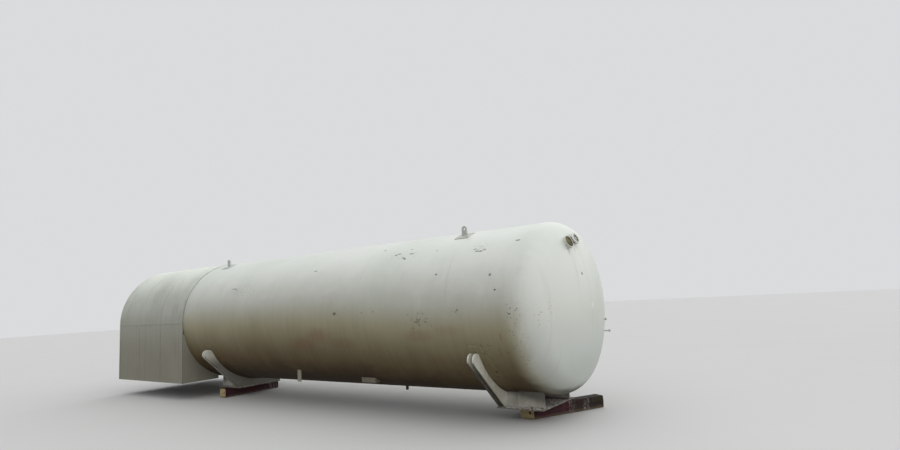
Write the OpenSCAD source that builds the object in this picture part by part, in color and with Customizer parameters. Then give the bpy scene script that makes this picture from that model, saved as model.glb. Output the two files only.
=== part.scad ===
// Horizontal vacuum-jacketed pressure tank on two saddles, with a sheet
// metal valve cabinet round its rear end, standing on two timber sleepers.
// X runs along the tank with the free dished head at +X, Y across it, Z up.
// The origin is on the ground under the middle of the outer box.

/* [Vessel] */
// Outside diameter of the shell
shell_od = 3000; // [2940:10:3060]
// Distance between the two head tangent lines
tangent_length = 11150; // [10900:50:11400]
// Plate thickness of the shell and the heads
wall = 12; // [8:1:20]
// Crown radius of the dished heads
crown_r = 3000; // [2800:50:3300]
// Knuckle radius of the dished heads
knuckle_r = 450; // [380:10:500]
// Straight flange of each head before the first course
flange_len = 40; // [30:5:60]

/* [Saddles] */
// Height of the shell's lowest point above the base plate's underside
shell_drop = 200; // [180:5:240]
// Length of a base plate along the tank
base_length = 890; // [860:10:1000]
// Width of a base plate across the tank
base_width = 1240; // [1220:10:1400]
// Thickness of a base plate
base_thickness = 25; // [16:1:36]
// Distance of the front base plate's outer end from the front tangent line
front_base_inset = 100; // [60:5:140]
// Distance of the rear base plate's outer end from the rear tangent line
rear_base_inset = 1770; // [1700:10:1900]
// Thickness of the curved wear pad under the shell
pad_thickness = 12; // [8:1:16]
// Width of the wear pad along the tank, under the shell
pad_width = 580; // [520:10:640]
// Width of the wear pad at its upper edges
pad_top_width = 220; // [200:5:300]
// Height over which the wear pad widens
pad_flare_h = 450; // [300:10:500]
// Distance from the base plate's outer end to the wear pad
pad_from_end = 500; // [480:5:530]
// Wear pad's upper edge, degrees below the horizontal
pad_edge_angle = 22.5; // [21:0.5:24]
// Thickness of the two cross webs
web_thickness = 28; // [20:1:36]
// Distance from the base plate's outer end to the outer web
outer_web_from_end = 726; // [700:2:740]
// Distance from the base plate's outer end to the inner web
inner_web_from_end = 826; // [810:2:850]
// Radius of the rounded horn at each end of a web
horn_r = 108; // [80:1:120]
// Horn centre, degrees below the horizontal
horn_angle = 29; // [28:0.5:34]
// Half width of a web at the base plate
web_foot = 615; // [560:5:615]
// Distance from the centre plane to the middle of a side plate
side_plate_y = 500; // [440:5:520]
// Thickness of the side plates
side_plate_t = 14; // [10:1:20]
// Distance from the base plate's outer end to the side plates
side_plate_from_end = 15; // [10:5:60]

/* [Anchor holes] */
// Radius of the anchor holes in the base plates
anchor_r = 14; // [10:1:18]
// Spacing of the anchor holes along the tank
anchor_dx = 480; // [400:5:500]
// Spacing of the anchor holes across the tank
anchor_dy = 1130; // [1110:5:1140]
// Distance from the base plate's outer end to the first anchor holes
anchor_from_end = 125; // [90:5:180]

/* [Sleepers] */
// Width of a timber sleeper
sleeper_w = 240; // [200:5:280]
// Height of a timber sleeper
sleeper_h = 220; // [160:5:260]
// Length of the front sleeper's free side
front_sleeper_len = 1560; // [1400:10:1900]
// Length of the rear sleeper
rear_sleeper_len = 1600; // [1400:10:2000]
// Turn of the front sleeper away from square, degrees
front_sleeper_turn = 28; // [10:1:30]
// Near corner of the front sleeper's free side, behind the front tangent line
front_sleeper_x = 440; // [400:10:500]
// Near end of the front sleeper, from the centre plane toward -Y
front_sleeper_y = 300; // [200:10:600]

/* [Lifting lugs] */
// Width of a lug plate along the tank
lug_w = 110; // [90:2:140]
// Thickness of a lug plate
lug_t = 25; // [16:1:36]
// Height of the eye's centre above the shell's top line
lug_eye_up = 10; // [0:1:60]
// Radius of the eye
lug_eye_r = 22; // [16:1:28]
// Turn of the lugs from the shell's top line, degrees
lug_turn = 23.16; // [18:0.01:26]
// Distance of the front lugs behind the front tangent line
front_lug_x = 1470; // [1300:10:1600]
// Distance of the rear lugs ahead of the rear tangent line
rear_lug_x = 2200; // [1900:10:2600]
// Length of a lug's doubler plate along the tank
lug_pad_l = 300; // [240:10:360]
// Width of a lug's doubler plate, degrees of shell
lug_pad_deg = 10; // [8:0.5:12]
// Thickness of a lug's doubler plate
lug_pad_t = 12; // [8:1:16]

/* [Head fittings] */
// Tilt of both ports above the tank's axis, seen from the crown's centre
port_tilt = 22.2; // [19:0.1:23]
// Turn of the relief port about the axis, toward -Y
relief_turn = 20; // [18:0.5:26]
// Turn of the pump-out port about the axis, toward -Y
pump_turn = 6; // [2:0.5:8]
// Outer radius of the relief port
relief_r = 112; // [95:1:116]
// Wall of the relief port's ring
relief_wall = 14; // [8:1:20]
// Height of the relief port over the head
relief_h = 62; // [45:1:80]
// Depth of the relief plate below the ring's rim
relief_sunk = 10; // [5:1:20]
// Radius of the pump-out port's neck
pump_neck_r = 66; // [50:1:80]
// Height of the pump-out port's neck over the head
pump_neck_h = 48; // [35:1:60]
// Radius of the pump-out port's cover
pump_cover_r = 106; // [90:1:110]
// Thickness of the pump-out port's cover
pump_cover_t = 26; // [20:1:34]
// Radius and depth of the cover's round recess
pump_recess_r = 58; // [40:1:70]
pump_recess_d = 12; // [6:1:16]
// Distance of the upper nipple from the axis, and its turn below level
upper_nipple_d = 750; // [650:10:900]
upper_nipple_turn = 22; // [12:1:26]
// Distance of the lower nipple from the axis, and its turn below level
lower_nipple_d = 1075; // [1000:5:1140]
lower_nipple_turn = 28; // [27:1:34]
// Radius of a nipple's pipe
nipple_r = 13; // [10:1:18]
// Radius of a nipple's cap
nipple_cap_r = 21; // [19:1:28]
// Length of a nipple's cap
nipple_cap_l = 30; // [20:1:40]
// Reach of the upper nipple off the head
upper_nipple_l = 55; // [45:1:90]
// Reach of the lower nipple off the head
lower_nipple_l = 115; // [90:1:125]

/* [Belly fittings] */
// Distance of the belly brackets behind the front tangent line
belly_bracket_x = 5755; // [5500:5:5900]
// Width of a belly bracket along the tank
belly_bracket_w = 110; // [80:5:160]
// Thickness of a belly bracket
belly_bracket_t = 16; // [10:1:24]
// Place of the belly brackets round the shell, degrees below the horizontal
belly_bracket_turn = 49; // [44:1:54]
// Reach of a belly bracket below the shell beside it
belly_bracket_drop = 245; // [220:5:300]
// Distance of the belly box's middle behind the front tangent line
belly_box_x = 3835; // [3500:5:4000]
// Length of the belly box along the tank
belly_box_l = 375; // [300:5:500]
// Place of the belly box's outer side, degrees below the horizontal
belly_box_turn = 56.4; // [54:0.2:58]
// Width of the belly box
belly_box_w = 140; // [120:5:150]
// Depth of the belly box below the shell at its outer side
belly_box_drop = 95; // [90:1:120]
// Distance of the drain stub behind the front tangent line
drain_x = 3530; // [3300:10:3700]
// Radius of the drain stub
drain_r = 30; // [20:1:40]
// Wall of the drain stub
drain_wall = 9; // [5:1:12]
// Length of the drain stub below the shell
drain_l = 100; // [60:5:120]

/* [Cabinet] */
// Length of the cabinet
cabinet_length = 3300; // [3100:50:3500]
// Cabinet end's distance past the rear tangent line
cabinet_over = 1700; // [1600:50:1900]
// Sheet thickness of the cabinet
sheet_t = 6; // [4:1:10]
// Width of the cabinet's end frame
frame_w = 70; // [60:5:100]
// Depth of the cabinet's end frame
frame_d = 60; // [50:5:80]
// Width of the step that the doors close against
door_lap = 30; // [20:2:40]
// Depth of that step
door_recess = 40; // [36:1:44]
// Thickness of a door leaf
door_t = 8; // [4:1:12]
// Gap between the two door leaves
door_gap = 6; // [4:1:12]

/* [Hidden] */
R = shell_od / 2;
lug_y = R * sin(lug_turn);
lug_eye_z = R + lug_eye_up;
big = 4 * shell_od;
// Depth of the dished heads, and the half angle of their crown
head_depth = crown_r - sqrt(pow(crown_r - knuckle_r, 2) - pow(R - knuckle_r, 2));
crown_half = asin((R - knuckle_r) / (crown_r - knuckle_r));
overall = head_depth + tangent_length + cabinet_over;
x_front = overall / 2 - head_depth;
x_rear = x_front - tangent_length;
x_end = x_rear - cabinet_over;
axis_z = R + shell_drop + sleeper_h;
course_len = (tangent_length - 2 * flange_len) / 6;
base_top = R + shell_drop - base_thickness;
front_base_end = x_front - front_base_inset;
rear_base_end = x_rear + rear_base_inset;
// Horn centre, and the point where the web's straight edge meets the horn
horn_d = R + pad_thickness + horn_r;
horn_c = [horn_d * cos(horn_angle), -horn_d * sin(horn_angle)];
foot_c = [web_foot, -base_top];
horn_v = horn_c - foot_c;
horn_tan = sqrt(horn_v * horn_v - horn_r * horn_r);
horn_off = atan2(horn_v[1], horn_v[0]) - asin(horn_r / norm(horn_v));
horn_p = foot_c + horn_tan * [cos(horn_off), sin(horn_off)];
white = [0.86, 0.88, 0.85];
grey = [0.66, 0.68, 0.64];
pale = [0.74, 0.74, 0.70];
olive = [0.42, 0.38, 0.24];
sheet = [0.46, 0.49, 0.44];
timber = [0.27, 0.21, 0.17];
dark = [0.20, 0.18, 0.16];
$fn = 360;

// A cylinder along X that starts at x0, centred on the tank's axis
module along(x0, len, r) {
  translate([x0, 0, axis_z])
    rotate([0, 90, 0])
      cylinder(h = len, r = r);
}

// A flat profile drawn in Y and Z from the axis, given a thickness along X
module slice(x0, len) {
  translate([x0, 0, axis_z])
    rotate([90, 0, 90])
      linear_extrude(height = len)
        children();
}

// One rolled course of the shell, counted from the front
module course(i) {
  x0 = x_front - flange_len - i * course_len;
  color(white)
    difference() {
      along(x0, course_len, R);
      along(x0 - 1, course_len + 2, R - wall);
    }
}

// Dished profile: crown arc, knuckle arc and straight flange, at an inset t
module dish(t, low) {
  rk = knuckle_r - t;
  rc = crown_r - t;
  kx = R - knuckle_r;
  intersection() {
    translate([0, head_depth - crown_r])
      circle(r = rc);
    polygon([[0, 0], [kx, 0],
      [kx + 2 * knuckle_r * sin(crown_half), 2 * knuckle_r * cos(crown_half)],
      [0, 2 * knuckle_r * cos(crown_half) + head_depth]]);
  }
  intersection() {
    translate([kx, 0])
      circle(r = rk);
    translate([0, 0])
      square([R, R]);
  }
  translate([0, -low])
    square([R - t, low]);
}

module head_shape() {
  rotate_extrude()
    difference() {
      dish(0, flange_len);
      dish(wall, flange_len + 5);
    }
}

module front_head() {
  color(white)
    translate([x_front, 0, axis_z])
      rotate([0, 90, 0])
        head_shape();
}

module rear_head() {
  color(white)
    translate([x_rear, 0, axis_z])
      rotate([0, -90, 0])
        head_shape();
}

// Solid filling of the front head, used to trim what stands on it
module front_head_filled() {
  translate([x_front, 0, axis_z])
    rotate([0, 90, 0])
      rotate_extrude()
        dish(0, flange_len);
}

// Places a fitting square on the head's crown: Z points off the head from it
module on_crown(turn) {
  translate([x_front + head_depth - crown_r, 0, axis_z])
    rotate([turn, 0, 0])
      rotate([0, -port_tilt, 0])
        translate([crown_r, 0, 0])
          rotate([0, 90, 0])
            children();
}

module relief_port_neck() {
  sink = relief_r * 0.5;
  color(pale)
    difference() {
      on_crown(relief_turn)
        difference() {
          translate([0, 0, -sink])
            cylinder(h = relief_h + sink, r = relief_r);
          translate([0, 0, -sink - 1])
            cylinder(h = relief_h + sink + 2, r = relief_r - relief_wall);
        }
      front_head_filled();
    }
}

module relief_port_plate() {
  color(olive)
    on_crown(relief_turn)
      translate([0, 0, relief_h - relief_sunk - relief_wall])
        cylinder(h = relief_wall, r = relief_r - relief_wall);
}

module pump_port_neck() {
  color(dark)
    difference() {
      on_crown(pump_turn)
        translate([0, 0, -pump_neck_r])
          cylinder(h = pump_neck_h + pump_neck_r, r = pump_neck_r);
      front_head_filled();
    }
}

module pump_port_cover() {
  color(white)
    on_crown(pump_turn)
      translate([0, 0, pump_neck_h])
        difference() {
          cylinder(h = pump_cover_t, r = pump_cover_r);
          translate([0, 0, pump_cover_t - pump_recess_d])
            cylinder(h = pump_cover_t, r = pump_recess_r);
        }
}

// A capped pipe stub standing along X on the front head, at a distance from
// the axis and a turn below level on the far side
module nipple(d, turn, reach) {
  x0 = head_depth - crown_r + sqrt(crown_r * crown_r - d * d);
  sink = nipple_r * 4;
  color(pale)
    difference() {
      translate([x_front + x0 - sink, d * cos(turn), axis_z - d * sin(turn)])
        rotate([0, 90, 0]) {
          cylinder(h = sink + reach, r = nipple_r, $fn = 96);
          translate([0, 0, sink + reach - nipple_cap_l])
            cylinder(h = nipple_cap_l, r = nipple_cap_r, $fn = 96);
        }
      front_head_filled();
    }
}

// A lug plate with its eye, on a doubler plate rolled to the shell
module lug(x, side) {
  a = asin(lug_y / R);
  color(white) {
    difference() {
      translate([x, side * lug_y, axis_z])
        rotate([90, 0, 0])
          linear_extrude(height = lug_t, center = true)
            difference() {
              union() {
                translate([0, lug_eye_z])
                  circle(r = lug_w / 2);
                translate([-lug_w / 2, R - 400])
                  square([lug_w, lug_eye_z - R + 400]);
              }
              translate([0, lug_eye_z])
                circle(r = lug_eye_r);
            }
      along(x - lug_w, 2 * lug_w, R + lug_pad_t / 2);
    }
    slice(x - lug_pad_l / 2, lug_pad_l)
      intersection() {
        difference() {
          circle(r = R + lug_pad_t);
          circle(r = R);
        }
        polygon([[0, 0],
          [side * big * sin(a - lug_pad_deg / 2), big * cos(a - lug_pad_deg / 2)],
          [side * big * sin(a + lug_pad_deg / 2), big * cos(a + lug_pad_deg / 2)]]);
      }
  }
}

// The saddles are drawn with their outer end at X = 0 and the tank toward +X
module at_front() {
  translate([front_base_end, 0, 0])
    mirror([1, 0, 0])
      children();
}

module at_rear() {
  translate([rear_base_end, 0, 0])
    children();
}

// Wear pad: narrow at its upper edges, and widening down both sides of the webs
module saddle_pad() {
  mid = pad_from_end + pad_width / 2;
  top = (R + pad_thickness) * sin(pad_edge_angle);
  color(grey)
    intersection() {
      slice(pad_from_end - 1, pad_width + 2)
        intersection() {
          difference() {
            circle(r = R + pad_thickness);
            circle(r = R);
          }
          polygon([[0, 0],
            [big * cos(pad_edge_angle), -big * sin(pad_edge_angle)],
            [big * cos(pad_edge_angle), -big],
            [-big * cos(pad_edge_angle), -big],
            [-big * cos(pad_edge_angle), -big * sin(pad_edge_angle)]]);
        }
      translate([mid, 0, axis_z])
        rotate([90, 0, 0])
          linear_extrude(height = 2 * R + 4 * pad_thickness, center = true)
            polygon([[-pad_width / 2, -R - 2 * pad_thickness], [pad_width / 2, -R - 2 * pad_thickness],
              [pad_width / 2, -top - pad_flare_h], [pad_top_width / 2, -top],
              [pad_top_width / 2, 0], [-pad_top_width / 2, 0],
              [-pad_top_width / 2, -top], [-pad_width / 2, -top - pad_flare_h]]);
    }
}

// Cross web: straight edges rise from the foot, tangent to round horns,
// and the cradle is cut to the wear pad
module saddle_web(x0) {
  color(grey)
    slice(x0, web_thickness)
      difference() {
        union() {
          polygon([[foot_c[0], foot_c[1]], [horn_p[0], horn_p[1]], [horn_c[0], horn_c[1]],
            [0, 0],
            [-horn_c[0], horn_c[1]], [-horn_p[0], horn_p[1]], [-foot_c[0], foot_c[1]]]);
          for (s = [-1, 1])
            translate([s * horn_c[0], horn_c[1]])
              circle(r = horn_r);
        }
        circle(r = R + pad_thickness);
      }
}

// Side plate: stands on the base plate and is cut to the shell and the pad
module saddle_side(side) {
  len = outer_web_from_end - side_plate_from_end;
  color(pale)
    difference() {
      translate([side_plate_from_end, side * side_plate_y - side_plate_t / 2, axis_z - base_top])
        cube([len, side_plate_t, base_top - R * 0.6]);
      along(side_plate_from_end - 1, len + 2, R);
      along(pad_from_end, len, R + pad_thickness);
    }
}

module saddle_base() {
  color(pale)
    difference() {
      translate([0, -base_width / 2, sleeper_h])
        cube([base_length, base_width, base_thickness]);
      for (x = [anchor_from_end, anchor_from_end + anchor_dx])
        for (s = [-1, 1])
          translate([x, s * anchor_dy / 2, sleeper_h - 1])
            cylinder(h = base_thickness + 2, r = anchor_r);
    }
}

// The front sleeper lies askew, and its near end is sawn along the tank
module front_sleeper() {
  c = cos(front_sleeper_turn);
  s = sin(front_sleeper_turn);
  far = front_sleeper_len * [s, c];
  color(timber)
    translate([x_front - front_sleeper_x, -front_sleeper_y, 0])
      linear_extrude(height = sleeper_h)
        polygon([[0, 0], far, far + sleeper_w * [-c, s], [-sleeper_w / c, 0]]);
}

module rear_sleeper() {
  color(timber)
    translate([rear_base_end + base_length / 2 - sleeper_w / 2, -rear_sleeper_len / 2, 0])
      cube([sleeper_w, rear_sleeper_len, sleeper_h]);
}

module belly_bracket(side) {
  x = x_front - belly_bracket_x;
  y = R * cos(belly_bracket_turn);
  low = R * sin(belly_bracket_turn) + belly_bracket_drop;
  color(pale)
    difference() {
      translate([x - belly_bracket_w / 2, side * y - belly_bracket_t / 2, axis_z - low])
        cube([belly_bracket_w, belly_bracket_t, low - R * 0.6]);
      along(x - belly_bracket_w, 2 * belly_bracket_w, R);
    }
}

module belly_box() {
  x = x_front - belly_box_x;
  low = R * sin(belly_box_turn) + belly_box_drop;
  color(pale)
    difference() {
      translate([x - belly_box_l / 2, -R * cos(belly_box_turn), axis_z - low])
        cube([belly_box_l, belly_box_w, low - R * 0.7]);
      along(x - belly_box_l, 2 * belly_box_l, R);
    }
}

module drain_stub() {
  x = x_front - drain_x;
  color(dark)
    difference() {
      translate([x, 0, axis_z - R - drain_l])
        cylinder(h = drain_l * 2, r = drain_r);
      translate([x, 0, axis_z - R - drain_l - 1])
        cylinder(h = drain_l * 2 + 2, r = drain_r - drain_wall);
      along(x - 4 * drain_r, 8 * drain_r, R);
    }
}

// Arched outline of the cabinet: half round above the axis, square below
module arch(r, low) {
  intersection() {
    circle(r = r);
    translate([-r, 0])
      square([2 * r, r]);
  }
  translate([-r, -low])
    square([2 * r, low]);
}

module cabinet_roof() {
  color(sheet)
    slice(x_end, cabinet_length)
      intersection() {
        difference() {
          circle(r = R + sheet_t);
          circle(r = R);
        }
        translate([-2 * R, 0])
          square([4 * R, 2 * R]);
      }
}

module cabinet_side(side) {
  y0 = side > 0 ? R : -R - sheet_t;
  color(sheet)
    slice(x_end, cabinet_length)
      translate([y0, -R])
        square([sheet_t, R]);
}

// Flat corner sheet between the shell and the cabinet's square lower corner
module cabinet_corner(side) {
  y0 = side > 0 ? R * 0.35 : -R;
  color(sheet)
    slice(x_end + cabinet_length - sheet_t, sheet_t)
      difference() {
        translate([y0, -R])
          square([R * 0.65, R * 0.8]);
        circle(r = R);
      }
}

module cabinet_end_frame() {
  step = frame_w - door_lap;
  color(sheet) {
    slice(x_end, door_recess)
      difference() {
        arch(R, R);
        arch(R - step, R - step);
      }
    slice(x_end + door_recess, frame_d - door_recess)
      difference() {
        arch(R, R);
        arch(R - frame_w, R - frame_w);
      }
  }
}

module cabinet_door(side) {
  r = R - frame_w + door_lap;
  y0 = side > 0 ? door_gap / 2 : -2 * R - door_gap / 2;
  color(sheet)
    slice(x_end + door_recess - door_t, door_t)
      intersection() {
        arch(r, r);
        translate([y0, -2 * R])
          square([2 * R, 4 * R]);
      }
}

course(1);  // shell_course_1
course(2);  // shell_course_2
course(3);  // shell_course_3
course(4);  // shell_course_4
course(5);  // shell_course_5
course(6);  // shell_course_6
front_head();
rear_head();
relief_port_neck();
relief_port_plate();
pump_port_neck();
pump_port_cover();
nipple(upper_nipple_d, upper_nipple_turn, upper_nipple_l);  // head_nipple_upper
nipple(lower_nipple_d, lower_nipple_turn, lower_nipple_l);  // head_nipple_lower
lug(x_front - front_lug_x, -1);  // lifting_lug_front_near
lug(x_front - front_lug_x, 1);  // lifting_lug_front_far
lug(x_rear + rear_lug_x, -1);  // lifting_lug_rear_near
lug(x_rear + rear_lug_x, 1);  // lifting_lug_rear_far
at_front() saddle_pad();  // front_saddle_pad
at_front() saddle_web(outer_web_from_end);  // front_saddle_web_outer
at_front() saddle_web(inner_web_from_end);  // front_saddle_web_inner
at_front() saddle_side(-1);  // front_saddle_side_near
at_front() saddle_side(1);  // front_saddle_side_far
at_front() saddle_base();  // front_saddle_base
at_rear() saddle_pad();  // rear_saddle_pad
at_rear() saddle_web(outer_web_from_end);  // rear_saddle_web_outer
at_rear() saddle_web(inner_web_from_end);  // rear_saddle_web_inner
at_rear() saddle_side(-1);  // rear_saddle_side_near
at_rear() saddle_side(1);  // rear_saddle_side_far
at_rear() saddle_base();  // rear_saddle_base
front_sleeper();
rear_sleeper();
belly_bracket(-1);  // belly_bracket_near
belly_bracket(1);  // belly_bracket_far
belly_box();
drain_stub();
cabinet_roof();
cabinet_side(-1);  // cabinet_side_near
cabinet_side(1);  // cabinet_side_far
cabinet_corner(-1);  // cabinet_corner_near
cabinet_corner(1);  // cabinet_corner_far
cabinet_end_frame();
cabinet_door(-1);  // cabinet_door_near
cabinet_door(1);  // cabinet_door_far
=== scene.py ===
"""Looks for a horizontal pressure tank: welds, fasteners, cabinet sheets, timber and weathered finishes."""
import math
from functools import reduce

import bmesh
import bpy
from mathutils import Matrix, Vector, noise


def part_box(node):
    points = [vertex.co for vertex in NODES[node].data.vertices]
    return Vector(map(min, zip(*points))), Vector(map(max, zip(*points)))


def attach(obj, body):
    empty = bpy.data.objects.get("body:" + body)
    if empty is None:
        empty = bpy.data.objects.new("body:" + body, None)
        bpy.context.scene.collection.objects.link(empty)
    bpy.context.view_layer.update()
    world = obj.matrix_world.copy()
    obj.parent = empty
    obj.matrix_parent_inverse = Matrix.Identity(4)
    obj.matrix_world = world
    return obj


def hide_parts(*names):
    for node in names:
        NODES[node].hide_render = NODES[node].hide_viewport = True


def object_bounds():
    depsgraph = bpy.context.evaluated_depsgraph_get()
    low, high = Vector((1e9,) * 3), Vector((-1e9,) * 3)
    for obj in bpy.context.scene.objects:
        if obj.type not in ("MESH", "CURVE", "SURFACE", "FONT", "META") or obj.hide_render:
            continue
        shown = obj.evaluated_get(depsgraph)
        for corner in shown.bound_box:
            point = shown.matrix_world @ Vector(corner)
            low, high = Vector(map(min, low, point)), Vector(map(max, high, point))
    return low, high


bl_info = {
    "name": "Pressure Tank Dressing",
    "version": (1, 0, 0),
    "blender": (4, 5, 0),
    "location": "View3D > Sidebar > Tank",
    "description": "Dresses a horizontal pressure tank with welds, fasteners, timber and weathered paint",
    "category": "Object",
}

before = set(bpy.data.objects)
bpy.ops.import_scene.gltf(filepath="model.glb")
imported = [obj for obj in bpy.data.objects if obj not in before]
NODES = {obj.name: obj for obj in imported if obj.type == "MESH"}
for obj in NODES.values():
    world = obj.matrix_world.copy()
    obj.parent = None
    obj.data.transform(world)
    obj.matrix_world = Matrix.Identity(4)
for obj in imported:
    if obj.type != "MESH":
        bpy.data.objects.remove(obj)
CAD_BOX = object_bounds()


def span(node):
    """Lowest and highest corner of a CAD node."""
    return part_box(node)


course_low, course_high = span("shell_course_1")
RADIUS = (course_high.y - course_low.y) / 2
AXIS = (course_high.z + course_low.z) / 2        # height of the tank's axis
SEAM_FRONT = course_high.x
COURSE = course_high.x - course_low.x
COURSES = 6
ROOF_REAR, ROOF_FRONT = (corner.x for corner in span("cabinet_roof"))
ROOF_CLEAR = -5.2                                # behind this the roof no longer laps the shell
SHEET_BAYS = 3
DISH = 3.0                                       # radius of the heads' middle part
DISH_CENTRE = Vector((span("front_head")[1].x - DISH, 0, AXIS))
PORT_TILT = math.radians(22.2)                   # of both ports from the tank's axis
RELIEF_ROLL, PUMP_ROLL = 20, 6                   # degrees of the ports from the top to the near side
DOUBLER = 0.012                                  # thickness of the wear pads and doubler plates
PAD_HALF, PAD_TAPER = 0.110, 0.45                # a pad's half width on top, and the height it widens over
LUG_OUT, LUG_HALF_THICK = 0.58995, 0.0125        # the lugs' plates: how far from the middle, half thickness
X, Y, Z = Vector((1, 0, 0)), Vector((0, 1, 0)), Vector((0, 0, 1))


# ---------------------------------------------------------------- settings

class TankPaint(bpy.types.PropertyGroup):
    """Paint and soiling of the tank"""
    shell: bpy.props.FloatVectorProperty(
        name="Shell paint", description="Colour of the clean paint on shell and heads",
        default=(0.77, 0.80, 0.755), size=3, subtype="COLOR", min=0, max=1)
    # the grime colour also carries painted shade on the lower half and the belly
    grime: bpy.props.FloatVectorProperty(
        name="Grime", description="Colour of the soil on the tank's lower half",
        default=(0.104, 0.070, 0.031), size=3, subtype="COLOR", min=0, max=1)
    rust: bpy.props.FloatVectorProperty(
        name="Rust", description="Colour of rust runs and stains",
        default=(0.215, 0.092, 0.045), size=3, subtype="COLOR", min=0, max=1)
    saddle: bpy.props.FloatVectorProperty(
        name="Saddle paint", description="Colour of the saddle plates",
        default=(0.50, 0.50, 0.46), size=3, subtype="COLOR", min=0, max=1)
    cabinet: bpy.props.FloatVectorProperty(
        name="Cabinet paint", description="Colour of the cabinet's sheets",
        default=(0.52, 0.55, 0.50), size=3, subtype="COLOR", min=0, max=1)
    soiling: bpy.props.FloatProperty(
        name="Soiling", description="How much grime the tank carries",
        default=1.0, min=0.0, max=1.5, subtype="FACTOR")


class TankWelds(bpy.types.PropertyGroup):
    """Sizes of the weld beads"""
    width: bpy.props.FloatProperty(
        name="Seam width", description="Width of the shell's weld beads",
        default=0.016, min=0.006, max=0.04, unit="LENGTH")
    height: bpy.props.FloatProperty(
        name="Seam height", description="Height of the shell's weld beads",
        default=0.0024, min=0.001, max=0.004, unit="LENGTH")
    fillet: bpy.props.FloatProperty(
        name="Fillet", description="Leg of the fillet welds on plates",
        default=0.014, min=0.006, max=0.03, unit="LENGTH")


class TankCabinet(bpy.types.PropertyGroup):
    """Sizes of the cabinet's sheet work"""
    strip: bpy.props.FloatProperty(
        name="Strip width", description="Width of the cover strips over sheet joints",
        default=0.050, min=0.02, max=0.1, unit="LENGTH")
    wave: bpy.props.FloatProperty(
        name="Sheet wave", description="How far the sheets belly in between their edges",
        default=0.0045, min=0.0, max=0.012, unit="LENGTH")
    rivet: bpy.props.FloatProperty(
        name="Rivet radius", description="Radius of a rivet head",
        default=0.008, min=0.004, max=0.014, unit="LENGTH")


class TankTimber(bpy.types.PropertyGroup):
    """Shape of the sleepers"""
    arris: bpy.props.FloatProperty(
        name="Worn arris", description="How far the sleeper's corners are worn back",
        default=0.014, min=0.002, max=0.03, unit="LENGTH")
    checks: bpy.props.FloatProperty(
        name="Check depth", description="Depth of the drying cracks along the grain",
        default=0.009, min=0.0, max=0.02, unit="LENGTH")


class TankStage(bpy.types.PropertyGroup):
    """Floor and light"""
    floor: bpy.props.FloatVectorProperty(
        name="Floor", description="Colour of the floor as it is seen",
        default=(0.66, 0.66, 0.65), size=3, subtype="COLOR", min=0, max=1)
    bounce: bpy.props.FloatVectorProperty(
        name="Floor bounce", description="Colour of the light that the floor throws back at the tank",
        default=(0.30, 0.275, 0.24), size=3, subtype="COLOR", min=0, max=1)
    backdrop: bpy.props.FloatVectorProperty(
        name="Backdrop", description="Colour behind the floor",
        default=(0.70, 0.71, 0.72), size=3, subtype="COLOR", min=0, max=1)
    overhead: bpy.props.FloatProperty(
        name="Overhead light", description="Strength of the wide soft light above",
        default=2.58, min=0.0)
    front: bpy.props.FloatProperty(
        name="Front lamp", description="Power of the lamp at the free head",
        default=55.0, min=0.0, unit="POWER")
    sky: bpy.props.FloatProperty(
        name="Ambient", description="Strength of the light from all round",
        default=0.16, min=0.0, max=2.0)


# ---------------------------------------------------------------- shader writing

class Val:
    """A value, vector or colour in a shader. Python's operators add the Math nodes."""

    def __init__(self, shader, socket):
        self.shader, self.socket = shader, socket

    def _math(self, operation, *values):
        return self.shader.node("ShaderNodeMath", {"operation": operation}, dict(enumerate(values)))

    def __add__(self, other): return self._math("ADD", self, other)
    def __radd__(self, other): return self._math("ADD", other, self)
    def __sub__(self, other): return self._math("SUBTRACT", self, other)
    def __rsub__(self, other): return self._math("SUBTRACT", other, self)
    def __mul__(self, other): return self._math("MULTIPLY", self, other)
    def __rmul__(self, other): return self._math("MULTIPLY", other, self)
    def __truediv__(self, other): return self._math("DIVIDE", self, other)
    def __rtruediv__(self, other): return self._math("DIVIDE", other, self)
    def __abs__(self): return self._math("ABSOLUTE", self)
    def most(self, other): return self._math("MAXIMUM", self, other)


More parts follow.
